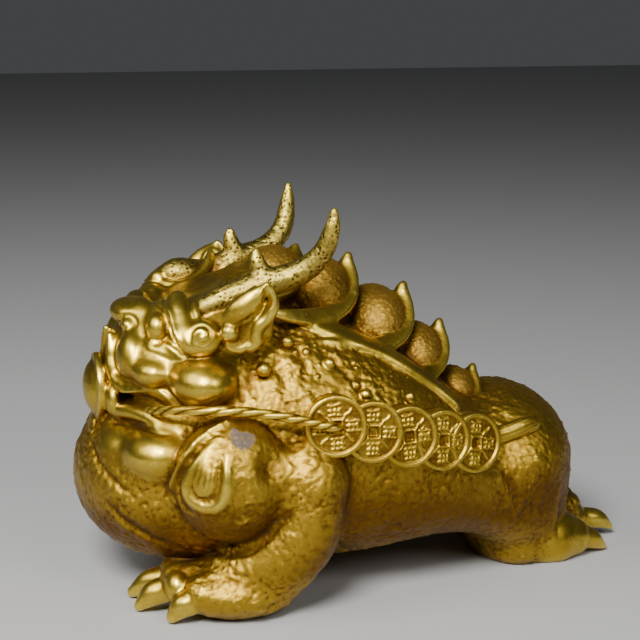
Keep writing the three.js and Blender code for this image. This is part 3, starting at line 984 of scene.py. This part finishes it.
def part_casting(points, quads, layers, values):
    """The casting's skin in lengths, as one mesh would be too large. Each is closed where it
    meets the next."""
    normals = corner_normals(points, quads)
    last = layers[quads].max(1)
    bounds = [-np.inf, *[round((y - LOW[1]) / VOXEL) for y in PART_LINES], np.inf]
    for name, low, high in zip(PART_NAMES, bounds[:-1], bounds[1:]):
        own = quads[(last > low) & (last <= high)]
        used, faces = np.unique(own, return_inverse=True)
        faces = faces.reshape(own.shape)
        places = points[used]
        caps = []
        for ring in rings_of(faces):
            flat = [Vector((places[i][0], places[i][2], 0)) for i in ring]
            for face in tessellate_polygon([flat]):
                caps.append([ring[i] for i in face][::-1])
        own_values = {key: value[used] for key, value in values.items()}
        new_piece(name, places, faces.tolist() + caps, own_values, normals[used])


# Coins, cords and tassels.

COIN_RADIUS = 9.6
COIN_BACK = -7.0
COIN_FACE = 0.5
COIN_RIM = 1.15
COIN_RIM_WIDTH = 1.3
COIN_HOLE = 3.3
COIN_GRID = 64
# How far a coin's rim lies behind the upright, in degrees, and the height of its strokes.
COIN_ROLL = -8
STROKE_RADIUS = 0.5
STROKE_HEIGHT = 0.5


def line_distance(u, v, path):
    """The distance from places in a plane to a drawn line."""
    best = np.full(u.shape, UNKNOWN)
    for (ua, va), (ub, vb) in zip(path[:-1], path[1:]):
        du, dv = ub - ua, vb - va
        share = np.clip(((u - ua) * du + (v - va) * dv) / (du * du + dv * dv), 0, 1)
        best = np.minimum(best, np.hypot(u - ua - share * du, v - va - share * dv))
    return best


def coin_strokes():
    """Four groups of short strokes in rows, with a curved line from each corner of the hole to the rim."""
    draw = np.random.default_rng(5)
    half_row, last_start, gap = 1.9, 1.5, 0.5
    strokes = []
    for middle in np.array([[0, 5.2], [5.3, 0], [0, -5.2], [-5.3, 0]]):
        for row in (-1.65, -0.1, 1.45):
            start = -half_row
            while start < last_start:
                length = draw.uniform(0.7, 2.2)
                stop = min(start + length, half_row)
                lean = draw.uniform(-0.3, 0.3)
                strokes.append([middle + (start, row), middle + (stop, row + lean)])
                start = stop + gap
        for column in (-1.3, 0.0, 1.3):
            low = draw.uniform(-1.8, -0.6)
            high = low + draw.uniform(1.2, 2.2)
            strokes.append([middle + (column, low), middle + (column + 0.15, high)])
    for turn in range(4):
        c, s = math.cos(turn * math.pi / 2), math.sin(turn * math.pi / 2)
        curve = smooth_path([(1.7, 1.7), (2.5, 2.3), (3.1, 3.4), (4.2, 3.9), (5.1, 4.9)], 4)
        strokes.append([(c * x - s * y, s * x + c * y) for x, y in curve[::2]])
    return strokes


def coin_relief(u, v, strokes):
    """The height of a coin's face: its rim, the raised border of its square hole, and strokes."""
    away = np.hypot(u, v)
    rim = ease(away, COIN_RADIUS - COIN_RIM_WIDTH - 0.3, COIN_RADIUS - COIN_RIM_WIDTH + 0.2)
    rim -= 0.35 * ease(away, COIN_RADIUS - 0.45, COIN_RADIUS)
    square = np.maximum(np.abs(u), np.abs(v)) - COIN_HOLE / 2
    hole = ease(-square, 0, 0.3)
    height = COIN_FACE + (COIN_RIM - COIN_FACE) * rim
    height += 0.42 * bump(np.abs(square - 0.35), 0.55)
    raised = np.zeros(u.shape)
    for path in strokes:
        raised = np.maximum(raised, bump(line_distance(u, v, path), STROKE_RADIUS))
    height += STROKE_HEIGHT * raised * (1 - rim)
    return height * (1 - hole) + hole * (COIN_FACE - 0.85)


def coin(name, at, turn, spin, side):
    """A coin whose face looks along its own first axis, built as one closed mesh."""
    n = COIN_GRID
    line = np.linspace(-1, 1, n + 1)
    s, t = np.meshgrid(line, line, indexing="ij")
    u = COIN_RADIUS * s * np.sqrt(1 - t * t / 2)
    v = COIN_RADIUS * t * np.sqrt(1 - s * s / 2)
    c, d = math.cos(math.radians(spin)), math.sin(math.radians(spin))
    height = coin_relief(c * u + d * v, c * v - d * u, STROKES)
    flat = np.stack([u, v], -1).reshape(-1, 2)
    height = height.ravel() + 0.05 * noise(np.column_stack([flat, np.full(len(flat), at[1])]), 2.2, 20)
    face = np.column_stack([height, flat])
    number = np.arange((n + 1) ** 2).reshape(n + 1, n + 1)
    faces = np.stack([number[:-1, :-1], number[1:, :-1], number[1:, 1:], number[:-1, 1:]], -1).reshape(-1, 4)
    ring = np.concatenate([number[:-1, 0], number[-1, :-1], number[:0:-1, -1], number[0, :0:-1]])
    base = face[ring] * [0, 1, 1] + [COIN_BACK, 0, 0]
    below = len(face) + np.arange(len(ring))
    wall = np.stack([ring, below, np.roll(below, -1), np.roll(ring, -1)], 1)
    points = np.vstack([face, base]) @ turned(0, turn, COIN_ROLL).T + at
    level = ease(height, COIN_FACE - 0.1, COIN_FACE + 0.4)
    hollow = np.concatenate([0.14 - 0.46 * level, np.full(len(ring), 0.3)])
    every = faces[:, ::-1].tolist() + wall[:, ::-1].tolist() + [below.tolist()]
    flank_piece(name, points, every, {"smooth": 0.35, "hollow": hollow, "deep": 0.15}, side)


def tube(name, path, outline, values, side):
    """A closed tube. outline gives its half width, half thickness and hollowness, from the
    share of its length and the angle around it."""
    count, around = len(path), 36
    along = unit(np.gradient(path, axis=0))
    up = unit(np.cross(along, [1.0, 0, 0]))
    out = np.cross(up, along)
    angles = np.arange(around) * 2 * math.pi / around
    share, angle = np.meshgrid(np.linspace(0, 1, count), angles, indexing="ij")
    wide, thick, hollow = outline(share, angle)
    rings = (path[:, None] + up[:, None] * (wide * np.cos(angle))[..., None]
             + out[:, None] * (thick * np.sin(angle))[..., None])
    number = np.arange(count * around).reshape(count, around)
    turn_on = np.roll(number, -1, axis=1)
    faces = np.stack([number[:-1], turn_on[:-1], turn_on[1:], number[1:]], -1).reshape(-1, 4).tolist()
    faces += [number[0][::-1].tolist(), number[-1].tolist()]
    flank_piece(name, rings.reshape(-1, 3), faces, dict(values, hollow=hollow.ravel()), side)


def coin_strings(clay):
    """A cord, five coins that overlap and a tassel along each flank."""
    turns = (-4, 2, 6, 14, 18)
    spins = (4, -3, 2, -5, -8)
    # The first coin's place, the way from one to the next, and how the row curves inward.
    first, pitch, curve = np.array([48.6, -21, 61.5]), np.array([0, 12, -2.7]), np.array([-0.5, 0, 0])
    cord = [(148, 410, 28), (160, 411, 33.5), (178, 411, 39.5), (205, 411.5, 45.3), (228, 411, 47.5),
            (252, 412.5, 48), (290, 418, 50), (318, 424, 51.3), (334, 427.5, 51.4), (341, 429, 48.2)]
    tassel = [(488, 440), (503, 435.5), (517, 431), (528, 427), (537, 423.5)]
    cord_path = smooth_path([spot(*pixel) for pixel in cord], steps=20)
    tassel_path = sight(clay, smooth_path(tassel, steps=12))
    tassel_path += clay.slope(tassel_path) * 0.9
    for _ in range(4):
        even_out(tassel_path)

    def cord_outline(share, angle):
        """Three strands, twisted, and slightly uneven."""
        twist = angle - 24 * share - 1.2 * np.sin(9 * share)
        strand = np.abs(np.cos(1.5 * twist))
        size = 1.55 * (0.76 + 0.28 * strand ** 0.7) + 0.05 * np.cos(13 * twist)
        size *= 0.75 + 0.25 * ease(share, 0, 0.08)
        return size, size, 0.45 - 0.95 * strand

    def tassel_outline(share, angle):
        """A flat brush of threads that swells and then narrows."""
        swell = np.interp(share, [0, 0.3, 0.6, 0.85, 0.95, 1], [3.0, 3.5, 3.4, 2.9, 2.3, 0.9])
        ridge = np.cos(15 * angle + 2.5 * np.sin(5 * share)) + 0.4 * np.cos(34 * angle + 9 * share)
        return swell * (1 + 0.07 * ridge), swell * 0.62 * (1 + 0.07 * ridge), -0.02 - 0.3 * ridge

    for side, flank in ((1, "left"), (-1, "right")):
        for i, (turn, spin) in enumerate(zip(turns, spins)):
            at = first + pitch * i + curve * i * i
            coin(f"coin_{flank}_{i + 1}", at, turn, spin, side)
        tube(f"cord_{flank}", cord_path, cord_outline, {"smooth": 0.5}, side)
        tube(f"tassel_{flank}", tassel_path, tassel_outline, {"smooth": 0.4, "deep": -0.1}, side)


# The metal.

class Paint:
    """Builds a material node by node."""

    def __init__(self, name):
        self.material = bpy.data.materials.new(name)
        self.material.use_nodes = True
        self.tree = self.material.node_tree
        self.shader = self.tree.nodes["Principled BSDF"]

    def put(self, socket, value):
        if isinstance(value, bpy.types.NodeSocket):
            self.tree.links.new(value, socket)
        else:
            socket.default_value = value

    def node(self, kind, inputs, out=0, **settings):
        node = self.tree.nodes.new(kind)
        for key, value in settings.items():
            setattr(node, key, value)
        for key, value in inputs.items():
            self.put(node.inputs[key], value)
        return node.outputs[out]

    def value(self, name):
        return self.node("ShaderNodeAttribute", {}, 2, attribute_name=name)

    def sum(self, a, b, operation="ADD"):
        return self.node("ShaderNodeMath", {0: a, 1: b}, operation=operation)

    def scaled(self, value, factor, plus=0.0):
        return self.node("ShaderNodeMath", {0: value, 1: factor, 2: plus}, operation="MULTIPLY_ADD")

    def total(self, first, *others):
        """The sum of values, each times a factor and plus a number."""
        result = self.scaled(*first)
        for term in others:
            result = self.sum(result, self.scaled(*term))
        return result

    def ramp(self, value, low, high):
        return self.node("ShaderNodeMapRange", {0: value, 1: low, 2: high}, interpolation_type="SMOOTHSTEP")

    def blend(self, a, b, share):
        return self.node("ShaderNodeMix", {0: share, 6: a, 7: b}, 2, data_type="RGBA")

    def noise(self, size, detail, roughness=0.55):
        """Noise with features of about this size in millimetres."""
        place = self.node("ShaderNodeTexCoord", {}, 3)
        inputs = {"Vector": place, "Scale": 1 / (size * MM), "Detail": detail, "Roughness": roughness}
        return self.node("ShaderNodeTexNoise", inputs)


BODY_GOLD = (0.41, 0.25, 0.022, 1)
SMOOTH_GOLD = (0.56, 0.385, 0.042, 1)
ORANGE_GOLD = (0.39, 0.245, 0.022, 1)
PALE_GOLD = (0.74, 0.55, 0.075, 1)
HORN_GOLD = (0.33, 0.245, 0.045, 1)
GRAIN_GOLD = (0.31, 0.185, 0.026, 1)
# The brown of the patina, also used for painted shade under the overhangs.
PATINA_AND_SHADE = (0.15, 0.068, 0.007, 1)
DIRT = (0.032, 0.015, 0.004, 1)
MAUVE = (0.13, 0.095, 0.07, 1)


def brass_paint():
    paint = Paint("brass")
    smooth, horn, grain, pit, raised, hollow, deep, under, mark = map(paint.value, VALUE_NAMES)
    cloud, speck = paint.noise(9.0, 4.0), paint.noise(1.3, 5.0, 0.65)
    rough = paint.sum(1.0, smooth, "SUBTRACT")

    # Dirt and patina gather in hollows and low places, and painted shade lies under the overhangs.
    low = paint.total((hollow, 1.1), (deep, 0.75), (raised, -1.3), (cloud, 0.7, -0.35),
                      (speck, 0.8, -0.4), (rough, 0.08), (grain, 0.1), (under, 0.2))
    patina_and_shade = paint.ramp(low, -0.02, 0.4)
    dark = paint.ramp(low, 0.3, 0.8)
    bright = paint.ramp(low, -0.12, -0.5)
    orange = paint.ramp(paint.noise(22.0, 2.0), 0.48, 0.7)
    stain = paint.ramp(paint.sum(mark, paint.scaled(speck, 3.4, -1.7)), 0.4, 0.9)
    tone = paint.blend(BODY_GOLD, SMOOTH_GOLD, smooth)
    for colour, share in (
        (ORANGE_GOLD, orange), (HORN_GOLD, horn), (GRAIN_GOLD, grain), (PALE_GOLD, bright),
        # Painted shade under the overhangs, in the patina brown.
        (PATINA_AND_SHADE, patina_and_shade), (PATINA_AND_SHADE, paint.scaled(under, 0.9)), (DIRT, dark),
        (DIRT, paint.ramp(pit, 0.15, 0.7)), (MAUVE, stain),
    ):
        tone = paint.blend(tone, colour, share)
    paint.put(paint.shader.inputs["Base Color"], tone)

    metal = paint.sum(paint.scaled(dark, -0.35, 1.0), paint.scaled(stain, 0.6), "SUBTRACT")
    paint.put(paint.shader.inputs["Metallic"], metal)
    shine = paint.total((rough, 0.06, 0.34), (grain, 0.18), (patina_and_shade, 0.12), (cloud, 0.2, -0.1), (stain, 0.35))
    paint.put(paint.shader.inputs["Roughness"], shine)

    fine = paint.total((paint.noise(0.35, 4.0, 0.6), 0.5), (speck, 1.2))
    strength = paint.scaled(rough, 0.55, 0.12)
    bumped = paint.node("ShaderNodeBump", {"Strength": strength, "Distance": 0.24 * MM, "Height": fine})
    paint.put(paint.shader.inputs["Normal"], bumped)
    return paint.material


gold = brass_paint()
STROKES = coin_strokes()

clay = sculpt()
points, quads, layers = mesh_from(clay)
points, values = dress(clay, points, quads)
values["mark"] = shoulder_mark(clay, points)
part_casting(points, quads, layers, values)
coin_strings(clay)

# The stage, in metres: a pale floor, a dim room, three lights and the camera.

FLOOR_REACH = 3.0
FLOOR_COLOUR = (0.36, 0.355, 0.35, 1)
FLOOR_ROUGHNESS = 0.8
ROOM_COLOUR = (0.5, 0.52, 0.55, 1)
ROOM_STRENGTH = 0.12
LIGHT_TARGET = Vector((0, 0, 0.06))
# Azimuth and elevation in degrees, distance and size in metres, and power in watts.
LIGHTS = {
    "key": (60, 42, 0.9, 0.34, 16),
    "fill": (112, 32, 1.0, 0.4, 3.5),
    "front": (15, 40, 1.0, 0.6, 4),
}
SENSOR_MM = 36
NEAREST_SEEN = 0.01


def lay_floor():
    r = FLOOR_REACH
    mesh = bpy.data.meshes.new("floor")
    mesh.from_pydata([(-r, -r, 0), (r, -r, 0), (r, r, 0), (-r, r, 0)], [], [(0, 1, 2, 3)])
    floor = put_in_scene("floor", mesh)
    pale = bpy.data.materials.new("pale_floor")
    pale.use_nodes = True
    inputs = pale.node_tree.nodes["Principled BSDF"].inputs
    inputs["Base Color"].default_value = FLOOR_COLOUR
    inputs["Roughness"].default_value = FLOOR_ROUGHNESS
    mesh.materials.append(pale)


def light_room():
    world = bpy.data.worlds.new("studio")
    world.use_nodes = True
    inputs = world.node_tree.nodes["Background"].inputs
    inputs["Color"].default_value = ROOM_COLOUR
    inputs["Strength"].default_value = ROOM_STRENGTH
    bpy.context.scene.world = world


def look_from(thing, place, target):
    back = (Vector(place) - Vector(target)).normalized()
    right = Vector((0, 0, 1)).cross(back).normalized()
    up = back.cross(right)
    thing.matrix_world = Matrix.Translation(place) @ Matrix((right, up, back)).transposed().to_4x4()


def area_light(name, azimuth, elevation, distance, size, power):
    light = bpy.data.lights.new(name, "AREA")
    light.shape = "DISK"
    light.size = size
    light.energy = power
    place = Vector(direction(azimuth, elevation)) * distance
    look_from(put_in_scene(name, light), place + LIGHT_TARGET, LIGHT_TARGET)


def set_camera():
    camera_data = bpy.data.cameras.new("camera")
    camera_data.sensor_width = SENSOR_MM
    camera_data.lens = SENSOR_MM * FOCAL_PIXELS / IMAGE_SIZE
    camera_data.clip_start = NEAREST_SEEN
    camera = put_in_scene("camera", camera_data)
    shift = Vector((0, ORIGIN_Y, 0))
    look_from(camera, (Vector(CAMERA_PLACE) + shift) * MM, (Vector(CAMERA_AIM) + shift) * MM)
    bpy.context.scene.camera = camera


lay_floor()
light_room()
for light_name, settings in LIGHTS.items():
    area_light(light_name, *settings)
set_camera()
